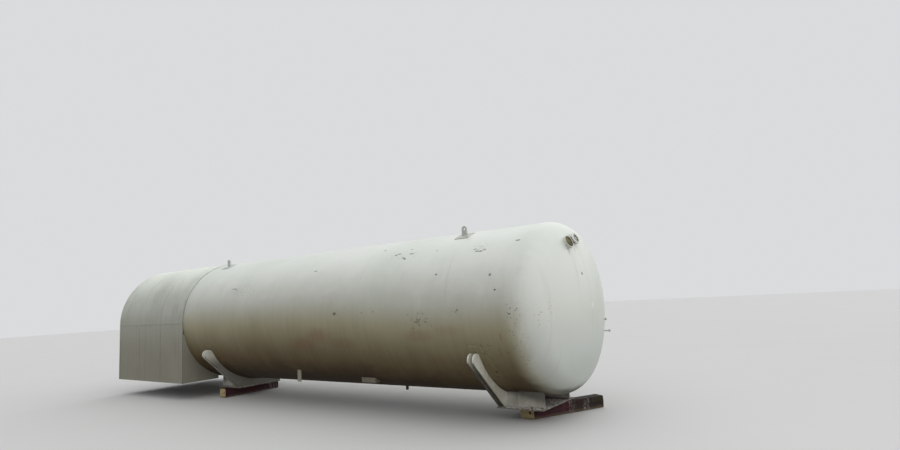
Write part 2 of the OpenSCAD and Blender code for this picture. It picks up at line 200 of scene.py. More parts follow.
class Shader:
    """The nodes of a material or of the surroundings, under construction."""

    def __init__(self, owner):
        self.owner = owner
        owner.use_nodes = True
        self.tree = owner.node_tree
        self.tree.nodes.clear()

    def node(self, kind, settings=None, values=None, out=0):
        """Any node: its type, settings, the values or links of its inputs, and which output is wanted."""
        made = self.tree.nodes.new(kind)
        for key, setting in (settings or {}).items():
            setattr(made, key, setting)
        for key, value in (values or {}).items():
            socket = made.inputs[key]
            if isinstance(value, Val):
                self.tree.links.new(value.socket, socket)
            elif socket.type == "RGBA":
                socket.default_value = (*value[:3], 1.0)
            else:
                socket.default_value = value
        return Val(self, made.outputs[out]) if len(made.outputs) else None

    def place(self):
        """Position on the object, in metres."""
        return self.node("ShaderNodeTexCoord", out="Object")

    def parts(self, vector):
        """The three parts of a vector."""
        split = self.node("ShaderNodeSeparateXYZ", {}, {0: vector})
        return [Val(self, s) for s in split.socket.node.outputs]

    def seen(self):
        """1 where a ray comes straight from the camera, off a reflection or through glass, else 0."""
        kinds = ("Camera", "Glossy", "Transmission")
        return reduce(Val.most, [self.node("ShaderNodeLightPath", out=f"Is {kind} Ray") for kind in kinds])

    def scaled(self, vector, factors):
        return self.node("ShaderNodeVectorMath", {"operation": "MULTIPLY"}, {0: vector, 1: factors})

    def away(self, vector, point, radii):
        """Distance from a point, where 1 is the edge of an ellipsoid with these radii."""
        inverse = tuple(1.0 / r for r in radii)
        centre = tuple(p * i for p, i in zip(point, inverse))
        return self.node("ShaderNodeVectorMath", {"operation": "DISTANCE"},
                         {0: self.scaled(vector, inverse), 1: centre}, out="Value")

    def spots(self, vector, table, shape):
        """A mask for each row of a table. shape makes it from the distance, where 1 is the spot's edge."""
        return [shape(self.away(vector, place, radii)) * strength for place, radii, strength in table]

    def cloud(self, vector, scale, detail, rough, twist=0.0):
        """Soft noise from 0 to 1. Its scale is one number, or one for each direction."""
        if isinstance(scale, tuple):
            vector, scale = self.scaled(vector, scale), 1.0
        return self.node("ShaderNodeTexNoise", {}, {"Vector": vector, "Scale": scale, "Detail": detail,
                                                    "Roughness": rough, "Distortion": twist}, out="Fac")

    def step(self, value, low, high, to=(0.0, 1.0)):
        """A smooth step from low to high; low may be the larger."""
        if low > high:
            low, high, to = high, low, (to[1], to[0])
        ends = {"From Min": low, "From Max": high, "To Min": to[0], "To Max": to[1]}
        return self.node("ShaderNodeMapRange", {"interpolation_type": "SMOOTHSTEP"}, {"Value": value, **ends})

    def mix(self, first, second, amount, how="MIX"):
        return self.node("ShaderNodeMix", {"data_type": "RGBA", "blend_type": how, "clamp_factor": True},
                         {0: amount, 6: first, 7: second}, out=2)


class Finish(Shader):
    """A material with one Principled surface. Its colour starts as a base and is built up in coats."""

    def __init__(self, name, base, metallic=0.0, shine=0.5):
        super().__init__(bpy.data.materials.new(name))
        self.colour = base
        self.constants = {"Metallic": metallic, "Specular IOR Level": shine}

    def coat(self, colour, amount, how="MIX"):
        self.colour = self.mix(self.colour, colour, amount, how)

    def finish(self, roughness, height=None, distance=0.002, strength=1.0):
        sockets = {"Base Color": self.colour, "Roughness": roughness, **self.constants}
        if height is not None:
            sockets["Normal"] = self.node(
                "ShaderNodeBump", {}, {"Strength": strength, "Distance": distance, "Height": height})
        surface = self.node("ShaderNodeBsdfPrincipled", {}, sockets)
        self.node("ShaderNodeOutputMaterial", {}, {"Surface": surface})
        return self.owner


def tint(colour, *factors):
    """A colour times one factor, or times one each for red, green and blue."""
    return tuple(min(1.0, c * k) for c, k in zip(colour, factors * 3))


# Scrapes on the shell: place, half sizes, how dark
SCRAPES = [
    ((5.13, -1.06, 2.985), (0.045, 0.025, 0.020), 0.55),
    ((5.19, -1.10, 2.945), (0.045, 0.025, 0.016), 0.80),
    ((5.26, -1.10, 2.938), (0.045, 0.025, 0.016), 0.80),
    ((5.33, -1.08, 2.955), (0.045, 0.025, 0.016), 0.65),
    ((5.93, -0.97, 3.067), (0.050, 0.025, 0.018), 0.80),
    ((3.26, -0.99, 3.045), (0.040, 0.025, 0.016), 0.80),
    ((3.33, -0.97, 3.064), (0.045, 0.025, 0.016), 0.80),
    ((3.50, -1.07, 2.972), (0.034, 0.030, 0.018), 0.95),
    ((3.55, -1.09, 2.950), (0.034, 0.030, 0.018), 0.95),
    ((3.66, -1.00, 3.040), (0.070, 0.025, 0.013), 0.70),
    ((3.57, -0.88, 3.138), (0.035, 0.025, 0.018), 0.45),
    ((2.82, -0.80, 3.188), (0.035, 0.030, 0.024), 0.60),
    ((4.26, -0.99, 3.045), (0.026, 0.025, 0.024), 0.45),
    ((4.98, -1.50, 1.965), (0.020, 0.030, 0.022), 0.60),
    ((4.95, -1.50, 1.935), (0.020, 0.030, 0.020), 0.50),
    ((1.12, -1.14, 2.89), (0.06, 0.03, 0.016), 0.70),
    ((4.46, -1.34, 2.59), (0.028, 0.03, 0.018), 0.75),
    ((5.59, -1.38, 2.51), (0.028, 0.03, 0.026), 0.90),
    ((5.71, -1.46, 2.26), (0.026, 0.03, 0.020), 0.90),
    ((2.03, -1.50, 1.985), (0.050, 0.03, 0.030), 0.80),
    ((2.77, -1.50, 1.985), (0.020, 0.03, 0.018), 0.60),
    ((3.06, -1.50, 1.995), (0.018, 0.03, 0.022), 0.55),
    ((-1.55, -1.30, 2.66), (0.12, 0.04, 0.020), 0.45),
    ((0.20, 1.42, 2.40), (0.13, 0.04, 0.030), 0.45),
    ((5.45, -1.14, 0.91), (0.030, 0.05, 0.030), 0.75),
    ((5.42, -1.05, 0.82), (0.026, 0.04, 0.022), 0.70),
    ((5.52, -1.22, 1.02), (0.018, 0.04, 0.018), 0.60),
    ((5.30, -0.95, 0.75), (0.020, 0.04, 0.020), 0.60),
    ((-2.10, 1.49, 2.10), (0.04, 0.03, 0.080), 0.50),
    ((3.10, 1.38, 2.50), (0.10, 0.04, 0.020), 0.55),
]
# Areas of scattered flecks, where the paint has been rubbed: place, half sizes, how dark
FLECKS = [
    ((4.16, -1.49, 1.80), (0.34, 0.20, 0.17), 0.60),
    ((3.42, -1.00, 3.03), (0.42, 0.20, 0.09), 0.34),
    ((5.20, -1.01, 3.03), (0.22, 0.20, 0.10), 0.34),
    ((2.10, -1.50, 2.00), (0.15, 0.20, 0.05), 0.40),
    ((4.98, -1.50, 1.93), (0.16, 0.20, 0.05), 0.40),
    ((5.30, -1.35, 1.25), (0.30, 0.30, 0.24), 0.45),
    ((-1.30, -1.30, 2.60), (0.60, 0.30, 0.16), 0.45),
    ((0.40, 1.40, 2.40), (0.60, 0.30, 0.20), 0.50),
]
# Marks on the free head: the speck, and the drips below the two ports
HEAD_MARKS = [
    ((6.706, -0.231, 2.456), (0.05, 0.026, 0.026), 0.95),
    ((6.60, -0.43, 2.84), (0.10, 0.030, 0.07), 0.30),
    ((6.64, -0.21, 2.88), (0.10, 0.016, 0.07), 0.22),
    ((6.69, -0.39, 2.45), (0.10, 0.012, 0.20), 0.12),
]
# Areas of fine rusty spatter on the knuckle: place, half sizes, how dark
SPATTER = [
    ((6.05, -1.46, 1.70), (0.20, 0.30, 0.45), 0.60),
    ((6.40, -1.10, 1.86), (0.26, 0.40, 0.30), 0.32),
    ((5.98, -1.38, 1.20), (0.24, 0.30, 0.30), 0.45),
    ((6.20, 1.30, 1.60), (0.26, 0.34, 0.40), 0.50),
]
# Rusty stains on the shell: place, half sizes, strength
STAINS = [
    ((1.52, -1.46, 1.56), (0.46, 0.34, 0.24), 0.36),
    ((1.02, -1.40, 1.37), (0.50, 0.38, 0.22), 0.30),
    ((2.20, -1.40, 1.40), (0.50, 0.40, 0.16), 0.20),
    ((5.75, -1.44, 1.50), (0.030, 0.10, 0.14), 0.42),
    ((5.67, -1.35, 1.27), (0.024, 0.12, 0.17), 0.36),
    ((4.39, -1.26, 1.11), (0.30, 0.30, 0.12), 0.18),
    ((4.08, -1.45, 1.53), (0.44, 0.30, 0.17), 0.24),
    ((4.76, -1.47, 1.63), (0.42, 0.25, 0.14), 0.15),
    ((-0.60, 1.44, 1.52), (0.45, 0.30, 0.25), 0.30),
    ((3.60, 1.45, 1.50), (0.30, 0.30, 0.22), 0.28),
]


def tank_finish(paint, head=False):
    """Old white paint with soil, rain streaks, scrapes and rusty stains, and painted shade that darkens the
    lower half and the belly. The free head stays cleaner, which also paints the brighter light on it.
    """
    clean = paint.shell
    s = Finish("weathered_white_head" if head else "weathered_white_shell", clean, shine=0.36)
    p = s.place()
    x, _, z = s.parts(p)
    up = (z - AXIS) / RADIUS
    broad = s.cloud(p, 0.55, 3, 0.55)
    patch = s.cloud(p, 2.3, 4, 0.6, 0.4)
    fine = s.cloud(p, 30, 5, 0.65)
    runs = s.cloud(p, (9.0, 0.7, 0.7), 3, 0.6)
    # less soil is laid towards the free head: cleaner paint, and also painted light, as the head faces the
    # open side
    open_end = s.step(x + (patch - 0.5) * 0.10, SEAM_FRONT - 0.26, SEAM_FRONT + 0.15)
    if head:
        runs = runs + (s.cloud(p, (1.2, 8.0, 0.55), 3, 0.6) - runs) * open_end
    s.coat(tint(clean, 0.90, 0.925, 0.90), s.step(broad, 0.40, 0.66))
    s.coat(tint(clean, 1.05, 1.04, 1.03), s.step(patch, 0.60, 0.80) * 0.5)
    streak = s.step(runs, 0.54, 0.76) * s.step(up, 0.96, 0.45)
    s.coat((0.46, 0.455, 0.40), streak * (0.20 - open_end * 0.04))
    # soil thickens to the belly, and with it painted shade darkens the lower half; the rear half is dirtier,
    # and the front saddle's near side cleaner
    low = up - s.step(x, 5.0, 1.0) * 0.13
    low = low + s.step(s.away(p, (5.26, -1.05, 0.66), (0.46, 0.60, 0.44)), 1.0, 0.25) * 0.14
    soil = s.step(low + (broad - 0.5) * 0.40 + (runs - 0.5) * 0.18, 0.20, -0.80)
    soft = s.step(low + (patch - 0.5) * 0.35, 0.70, -0.15)
    s.coat((0.365, 0.36, 0.295), soft * (0.66 - open_end * 0.63) * paint.soiling)
    s.coat(paint.grime, soil * (0.94 - open_end * 0.84) * paint.soiling)
    # the belly is darkest, with soil and painted shade, but of the dished part only the lowest strip is
    dished = s.step(x, SEAM_FRONT + 0.02, SEAM_FRONT + 0.30)
    belly = s.step(low + (patch - 0.5) * 0.3, -0.66, -0.97)
    belly = belly + (s.step(low + (patch - 0.5) * 0.10, -0.87, -0.96) - belly) * dished
    black = 0.96 - open_end * 0.48 + dished * 0.36
    s.coat(tint(paint.grime, 0.32, 0.27, 0.20), belly * black * paint.soiling)
    # dust on the top, and the band on the knuckle where water clings
    s.coat((0.66, 0.655, 0.60), s.step(up, 0.90, 1.0) * s.step(patch, 0.42, 0.62) * 0.4)
    rim = s.step(x, SEAM_FRONT - 0.14, SEAM_FRONT + 0.02) * s.step(x, SEAM_FRONT + 0.26, SEAM_FRONT + 0.04)
    band = rim * s.step(up, 0.62, 0.1) * s.step(runs + (patch - 0.5) * 0.5, 0.34, 0.66)
    s.coat((0.40, 0.37, 0.27), band * 0.34)
    # the lower half is tinted brown, by soil that rain has carried and by painted brown light thrown up from
    # the ground, and the lower dished part is tinted cool
    s.coat((1.0, 0.94, 0.73), s.step(low, 0.14, -0.30) * (1.0 - open_end * 0.85), "MULTIPLY")
    s.coat((0.97, 1.01, 1.08), s.step(low, 0.10, -0.50) * dished, "MULTIPLY")
    wander = (runs - 0.5) * 0.8 + (patch - 0.5) * 0.6
    s.coat(paint.rust, reduce(Val.most, s.spots(p, STAINS, lambda far: s.step(far + wander, 1.0, 0.15))))
    # dark marks: scrapes, flecks, dots and spatter
    ragged = s.cloud(p, (17.0, 22.0, 30.0), 4, 0.65, 0.6)
    edge, broken = (ragged - 0.5) * 1.6, s.step(ragged, 0.34, 0.46)
    marks = [s.step(s.cloud(p, 17, 2, 0.5), 0.765, 0.80) * s.step(up, 0.9, 0.1) * 0.45]
    marks += s.spots(p, HEAD_MARKS if head else SCRAPES,
                     lambda far: s.step(far + edge, 1.15, 0.66) * broken)
    if not head:
        fleck = s.cloud(p, (19.0, 19.0, 27.0), 3, 0.6, 0.9)
        marks += s.spots(p, FLECKS,
                         lambda far: s.step(fleck - far * 0.10, 0.535, 0.575) * s.step(far, 1.25, 0.9))
    spray = s.step(s.cloud(p, 27, 1, 0.4), 0.672, 0.715)
    worn = reduce(Val.most, marks + s.spots(p, SPATTER, lambda far: spray * s.step(far, 1.2, 0.6)))
    s.coat((0.060, 0.052, 0.044), worn)
    s.coat(tint(clean, 0.93), s.step(fine, 0.58, 0.72) * 0.08)
    rough = 0.38 + soil * (0.30 - open_end * 0.18) + streak * 0.08 + worn * 0.25 + (fine - 0.5) * 0.10
    return s.finish(rough, broad + fine * 0.06 - worn * 0.35, distance=0.004, strength=0.5)


def plate_finish(name, base, rust, chips=0.70, ground=0.22, under=0.0, deck=None, shell_shadow=None,
                 edge=0.0, between_webs_shade=0.0):
    """Painted plate with small chips, dirt runs, and mud up to the height ground.

    under > 0 adds the shell's soil, deck is the height of a worn top face, and lee gives the place
    and direction of the painted shadow that the shell casts down a side plate. edge paints shade on
    the faces that look down, and deep paints shade on the lower part of a web that stands behind another one.
    """
    s = Finish(name, base)
    p = s.place()
    x, y, z = s.parts(p)
    broad = s.cloud(p, 2.2, 4, 0.6)
    fine = s.cloud(p, 42, 5, 0.7)
    flake = s.cloud(s.scaled(p, (1.0, 1.0, 1.6)), 19.0, 3, 0.55)
    runs = s.cloud(p, (16.0, 16.0, 1.4), 3, 0.6)
    s.coat(tint(base, 0.78, 0.765, 0.70), s.step(broad, 0.38, 0.64))
    s.coat((0.17, 0.145, 0.105), s.step(runs, 0.52, 0.76) * 0.45)
    chip = s.step(flake, chips, chips + 0.05) * s.step(broad, 0.44, 0.56)
    s.coat(rust, chip * 0.85)
    if under:
        soil = s.step((z - AXIS) / RADIUS + (broad - 0.5) * 0.45, 0.0, -0.80)
        s.coat((0.140, 0.112, 0.070), soil * under)
    if shell_shadow is not None:
        # painted shadow of the shell on the upper part of the side plate, reaching lower away from the web
        sheltered = s.step(z + (x - shell_shadow[0]) * (0.20 * shell_shadow[1]) + (broad - 0.5) * 0.06, 0.38, 0.54)
        s.coat((0.040, 0.034, 0.022), sheltered * 0.82)
    if edge:
        # painted shade on the faces that look down
        downward_shade = s.step(s.parts(s.node("ShaderNodeTexCoord", out="Normal"))[2], -0.15, -0.55)
        s.coat((0.036, 0.029, 0.017), downward_shade * edge)
    if between_webs_shade:
        # painted shade on the lower part of a web that stands behind another one
        s.coat((0.055, 0.046, 0.028), s.step(z + (broad - 0.5) * 0.10, 1.14, 0.84) * between_webs_shade)
    mud = s.step(z + (broad - 0.5) * 0.16, ground + 0.16, ground - 0.02)
    s.coat((0.115, 0.092, 0.062), mud * 0.45)
    if deck is not None:
        # the flat top: paint lifts off in patches, and the far part, under the shell, is bare and wet and
        # carries painted shade
        lift = s.cloud(p, 26.0, 4, 0.6, 0.3)
        gone = s.step(lift + s.step(y, 0.22, 0.50) * 0.25, 0.530, 0.575)
        worn = s.mix(tint(base, 1.35), (0.050, 0.034, 0.032), gone)
        worn = s.mix(worn, (0.40, 0.25, 0.28), s.step(lift, 0.47, 0.52) * s.step(lift, 0.59, 0.54) * 0.7)
        s.coat((0.085, 0.066, 0.056), s.step(lift, 0.40, 0.52) * 0.85)
        s.coat(worn, s.step(z, deck - 0.0012, deck - 0.0003))
    s.coat(tint(base, 0.8), s.step(fine, 0.55, 0.72) * 0.22)
    rough = 0.50 + chip * 0.25 + mud * 0.12 + (fine - 0.5) * 0.12
    return s.finish(rough, fine * 0.25 + broad * 0.4 - chip * 0.5, distance=0.0025, strength=0.6)


def sheet_finish(paint):
    """Dull grey-green cabinet sheet with dust, rain streaks and rub marks, lighter on the roof as painted
    light from above.
    """
    base = paint.cabinet
    s = Finish("dull_cabinet_sheet", tint(base, 1.56))
    p = s.place()
    up = (s.parts(p)[2] - AXIS) / RADIUS
    broad = s.cloud(p, 0.9, 4, 0.6)
    fine = s.cloud(p, 36, 5, 0.65)
    runs = s.cloud(p, (11.0, 9.0, 0.6), 3, 0.6)
    # the roof is painted lighter than the sides: painted light from above
    s.coat(base, s.step(up, 0.99, 0.40))
    s.coat(tint(base, 0.80, 0.80, 0.78), s.step(broad, 0.40, 0.64) * s.step(up, 1.0, 0.5, (0.14, 0.7)))
    s.coat((0.27, 0.26, 0.21), s.step(runs, 0.50, 0.74) * s.step(up, 0.85, 0.1) * 0.42)
    soil = s.step(up + (broad - 0.5) * 0.4, 0.55, -0.60)
    s.coat((0.205, 0.185, 0.135), soil * 0.74 * paint.soiling)
    chip = s.step(s.cloud(p, 19, 3, 0.55), 0.735, 0.775)
    s.coat(paint.rust, chip * 0.7)
    rough = 0.50 + soil * 0.22 + (fine - 0.5) * 0.12
    return s.finish(rough, broad + fine * 0.08 - chip * 0.2, distance=0.003, strength=0.6)


def brass_finish():
    """Tarnished brass plate in the relief port."""
    s = Finish("tarnished_brass", (0.150, 0.140, 0.045), metallic=0.1, shine=0.2)
    p = s.place()
    tarnish = s.cloud(p, 14, 4, 0.6)
    fine = s.cloud(p, 70, 4, 0.6)
    low, high = span("relief_port_plate")
    foot = s.step(s.parts(p)[2] + (tarnish - 0.5) * 0.10, (low.z + high.z) / 2 + 0.03, low.z + 0.03)
    s.coat((0.060, 0.048, 0.016), s.step(tarnish, 0.38, 0.62))
    s.coat((0.24, 0.23, 0.12), s.step(fine, 0.58, 0.75) * 0.4)
    s.coat((0.030, 0.022, 0.008), foot * 0.8)
    return s.finish(0.45 + tarnish * 0.25, fine, distance=0.001, strength=0.6)


def port_way(roll):
    """Direction in which a port of the free head points."""
    roll, out = math.radians(roll), math.sin(PORT_TILT)
    return Vector((math.cos(PORT_TILT), -out * math.sin(roll), out * math.cos(roll)))


def cover_finish(base):
    """Painted port cover with painted shade in the hollow of its face."""
    s = Finish("port_cover_paint_and_painted_shade", base)
    p = s.place()
    fine = s.cloud(p, 60, 4, 0.6)
    hub = DISH_CENTRE + port_way(PUMP_ROLL) * (DISH + 0.060)
    recess_shade = s.step(s.away(p, hub, (0.078, 0.078, 0.078)) + (fine - 0.5) * 0.10, 1.06, 0.92)
    s.coat(tint(base, 0.80), s.step(fine, 0.45, 0.65))
    # painted shade in the cover's hollow
    s.coat((0.155, 0.150, 0.115), recess_shade * 0.85)
    return s.finish(0.50 + recess_shade * 0.2, fine, distance=0.001, strength=0.5)


def iron_finish():
    """Dark rusty iron for fasteners, stub and port neck."""
    rusty = (0.14, 0.062, 0.030)
    s = Finish("rusty_iron", (0.055, 0.048, 0.042), metallic=0.25)
    p = s.place()
    scale = s.cloud(p, 22, 5, 0.65)
    fine = s.cloud(p, 90, 4, 0.6)
    s.coat(rusty, s.step(scale, 0.44, 0.60))
    s.coat(tint(rusty, 1.7), s.step(fine, 0.60, 0.75) * 0.5)
    return s.finish(0.62 + (scale - 0.5) * 0.3, scale + fine * 0.4, distance=0.0015, strength=0.8)


def timber_finish(angle, name):
    """Stained sleeper: dark weathered faces with grain along the length and pale smears."""
    s = Finish(name, (0.012, 0.008, 0.007), shine=0.2)
    p = s.place()
    turned = s.node("ShaderNodeVectorRotate", {"rotation_type": "Z_AXIS"}, {"Vector": p, "Angle": angle})
    grain = s.cloud(turned, (46.0, 2.2, 46.0), 4, 0.6, 0.3)
    growth = s.cloud(turned, (16.0, 0.8, 16.0), 3, 0.55, 0.8)
    broad = s.cloud(p, 2.6, 4, 0.6)
    _, y, z = s.parts(p)
    s.coat((0.034, 0.023, 0.017), s.step(grain, 0.36, 0.64))
    s.coat((0.060, 0.016, 0.025), s.step(broad, 0.36, 0.56) * s.step(y, 0.80, 0.25) * 0.88)
    s.coat((0.026, 0.028, 0.014), s.step(growth, 0.42, 0.60) * s.step(y, 0.45, 0.85) * 0.75)
    smear = s.cloud(turned, (13.0, 17.0, 1.9), 4, 0.7)
    broken = s.step(s.cloud(p, 34, 3, 0.6), 0.36, 0.58)
    smeared = s.step(smear, 0.50, 0.68) * s.step(abs(y - 0.58), 0.36, 0.10)
    s.coat((0.42, 0.37, 0.35), smeared * broken * 0.85)
    s.coat((0.22, 0.185, 0.15), s.step(smear, 0.68, 0.78) * broken * 0.30)
    s.coat((0.17, 0.13, 0.09), s.step(z + (broad - 0.5) * 0.08, 0.07, 0.0) * 0.7)
    return s.finish(0.78 + (grain - 0.5) * 0.2, grain + growth * 0.5, distance=0.004, strength=0.8)


def end_grain_finish(name, core):
    """Freshly sawn end of a sleeper: growth rings round the core, saw marks and a dark hole."""
    s = Finish(name, (0.56, 0.45, 0.24))
    p = s.place()
    x, _, z = s.parts(p)
    wobble = s.cloud(p, 9, 3, 0.6)
    fine = s.cloud(p, 60, 4, 0.6)
    far = s.away(p, core, (1.0, 1.0, 1.0))
    rings = s.node("ShaderNodeMath", {"operation": "SINE"}, {0: (far + (wobble - 0.5) * 0.03) * 640.0})
    saw = s.node("ShaderNodeMath", {"operation": "SINE"}, {0: (x + z * 0.35 + wobble * 0.01) * 900.0})
    s.coat((0.40, 0.30, 0.15), s.step(rings, -0.4, 0.9) * 0.6)
    s.coat((0.26, 0.19, 0.11), s.step(wobble, 0.50, 0.72) * 0.6)
    hollow = s.away(p, core + Vector((0.055, 0, -0.005)), (0.022, 0.2, 0.028))
    hole = s.step(hollow + (fine - 0.5) * 0.5, 1.1, 0.8)
    s.coat((0.045, 0.014, 0.010), hole)
    s.coat((0.16, 0.12, 0.08), s.step(z, 0.06, 0.0) * 0.8)
    return s.finish(0.82, rings * 0.2 + saw * 0.15 + fine * 0.3 - hole * 1.2, distance=0.003, strength=0.8)


# ---------------------------------------------------------------- mesh helpers

def new_piece(name, verts, faces, material, angle, replaced=()):
    """A mesh piece that rides on the tank, shaded smooth but for edges sharper than an angle."""
    mesh = bpy.data.meshes.new(name)
    mesh.from_pydata([tuple(v) for v in verts], [], faces)
    mesh.validate()
    bm = bmesh.new()
    bm.from_mesh(mesh)
    bmesh.ops.recalc_face_normals(bm, faces=bm.faces)
    bm.to_mesh(mesh)
    bm.free()
    mesh.materials.append(material)
    piece = bpy.data.objects.new(name, mesh)
    bpy.context.scene.collection.objects.link(piece)
    with bpy.context.temp_override(object=piece, active_object=piece, selected_editable_objects=[piece]):
        bpy.ops.object.shade_smooth_by_angle(angle=math.radians(angle))
    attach(piece, "root")
    if replaced:
        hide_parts(*replaced)
    return piece


# Cross section of a weld bead's crown: across as a share of its width, up as a share of its height
BEAD = ((-0.5, 0.0), (-0.36, 0.66), (-0.13, 0.97), (0.13, 0.97), (0.36, 0.66), (0.5, 0.0))


class Heap:
    """Collects many small solids into one mesh."""

    def __init__(self):
        self.verts, self.faces = [], []

    def loft(self, rows, closed=False):
        """Skins rows of points, all of the same number, and caps both ends unless they join up."""
        start, count, n = len(self.verts), len(rows), len(rows[0])
        for i in range(count if closed else count - 1):
            a, b = start + i * n, start + (i + 1) % count * n
            self.faces += [(a + k, a + (k + 1) % n, b + (k + 1) % n, b + k) for k in range(n)]
        if not closed:
            last = start + (count - 1) * n
            self.faces += [tuple(range(start, start + n)), tuple(reversed(range(last, last + n)))]
        for row in rows:
            self.verts += row

    def turned(self, profile, place, axis, sides=24, flat=None):
        """A turned solid from (radius, height) pairs. flat is half a hexagon's width across its flats."""
        z = Vector(axis).normalized()
        x = z.orthogonal().normalized()
        y = z.cross(x)
        rows = []
        for radius, height in profile:
            rows.append([])
            for a in (2 * math.pi * i / sides for i in range(sides)):
                r = min(radius, flat / math.cos(a % (math.pi / 3) - math.pi / 6)) if flat else radius
                rows[-1].append(Vector(place) + z * height + x * (r * math.cos(a)) + y * (r * math.sin(a)))
        self.loft(rows)

    def bead(self, points, normals, width, height=None, sink=0.004, ripple=0.25, pitch=0.03, closed=False):
        """A weld bead with a rippled crown along a path. Its height is half its width if none is given.

        It stands along the normals, one for each point or one for all.
        """
        if isinstance(normals, Vector):
            normals = [normals] * len(points)
        height = width * 0.5 if height is None else height
        rows, run = [], 0.0
        for i, (here, up) in enumerate(zip(points, normals)):
            up = up.normalized()
            ahead = points[(i + 1) % len(points)] if closed or i < len(points) - 1 else here
            behind = points[i - 1] if closed or i > 0 else here
            across = (ahead - behind).normalized().cross(up).normalized()
            run += (here - behind).length
            lift = 1.0 - ripple * (0.5 + 0.5 * math.sin(2 * math.pi * run / pitch)) * 0.6
            lift = min(lift * (1.0 + 0.12 * noise.noise(here * 9.0)), 1.0)
            crown = [here + across * (width * u) + up * (height * v * lift) for u, v in BEAD]
            rows.append([crown[0] - up * sink, *crown, crown[-1] - up * sink])
        self.loft(rows, closed)

    def collar(self, points, hub, axis, spread, width, height=None, **settings):
        """A closed bead round a neck. It stands along the axis, and by a share leans away from the hub."""
        normals = [axis + (q - hub).normalized() * spread for q in points]
        self.bead(points, normals, width, height, closed=True, **settings)

    def piece(self, name, finish, slot, angle=38):
        return new_piece(name, self.verts, self.faces, FINISHES[finish], angle)


def line(start, end, step):
    """Points from start to end, about a step apart."""
    start, end = Vector(start), Vector(end)
    count = max(2, int((end - start).length / step) + 1)
    return [start.lerp(end, i / (count - 1)) for i in range(count)]


def circle(place, u, v, radius, steps):
    """Points of a circle in the plane of two directions."""
    angles = [2 * math.pi * i / steps for i in range(steps)]
    return [place + (u * math.cos(a) + v * math.sin(a)) * radius for a in angles]


def outward(degrees):
    """Direction away from the tank's axis; 0 degrees is +Y and 90 is up."""
    return Vector((0, math.cos(math.radians(degrees)), math.sin(math.radians(degrees))))


def ring(x, radius, start=0.0, stop=360.0, steps=360):
    """Points and outward normals of an arc round the tank."""
    ends = 0 if stop - start >= 360 else 1
    normals = [outward(start + (stop - start) * i / steps) for i in range(steps + ends)]
    return [Vector((x, 0, AXIS)) + n * radius for n in normals], normals


def lengthwise(degrees, x0, x1, step, lift=0.001):
    """Points and the normal of a line along the shell."""
    n = outward(degrees)
    foot = Vector((0, 0, AXIS)) + n * (RADIUS + lift)
    return line(foot + X * x0, foot + X * x1, step), n


def flat_section(place, across, up, half, edge, high, crown=0.9, sink=0.004):
    """Cross section of a flat strip: edge and high are its heights at the sides and on its crown."""
    outline = ((-1, -sink), (-1, edge), (-crown, high), (crown, high), (1, edge), (1, -sink))
    return [place + across * (half * u) + up * v for u, v in outline]


def nut_and_stud(heap, place, size, stud):
    """A washer, a hexagon nut with chamfered corners and a threaded stud end, all upright."""
    corner = size / math.cos(math.pi / 6)
    heap.turned([(size * 1.28, 0), (size * 1.28, size * 0.16), (size * 1.22, size * 0.2)], place, Z)
    base = Vector(place) + Z * size * 0.18
    heap.turned([(size * 0.94, 0), (corner, size * 0.12), (corner, size * 0.75), (size * 0.92, size * 0.9)],
                base, Z, flat=size)
    threads = [(size * 0.5 * (1.0 if k % 2 else 0.93), size * 0.7 + stud * k / 8) for k in range(9)]
    threads.append((size * 0.38, threads[-1][1] + size * 0.08))
    heap.turned(threads, base, Z, 16)


def paint_node(finish, *names):
    """Gives CAD nodes their finish."""
    for name in names:
        materials = NODES[name].data.materials
        for i in range(len(materials)):
            materials[i] = FINISHES[finish]
        if not materials:
            materials.append(FINISHES[finish])


FINISHES = {}       # filled by the Finishes operator, which runs first


# ---------------------------------------------------------------- operators

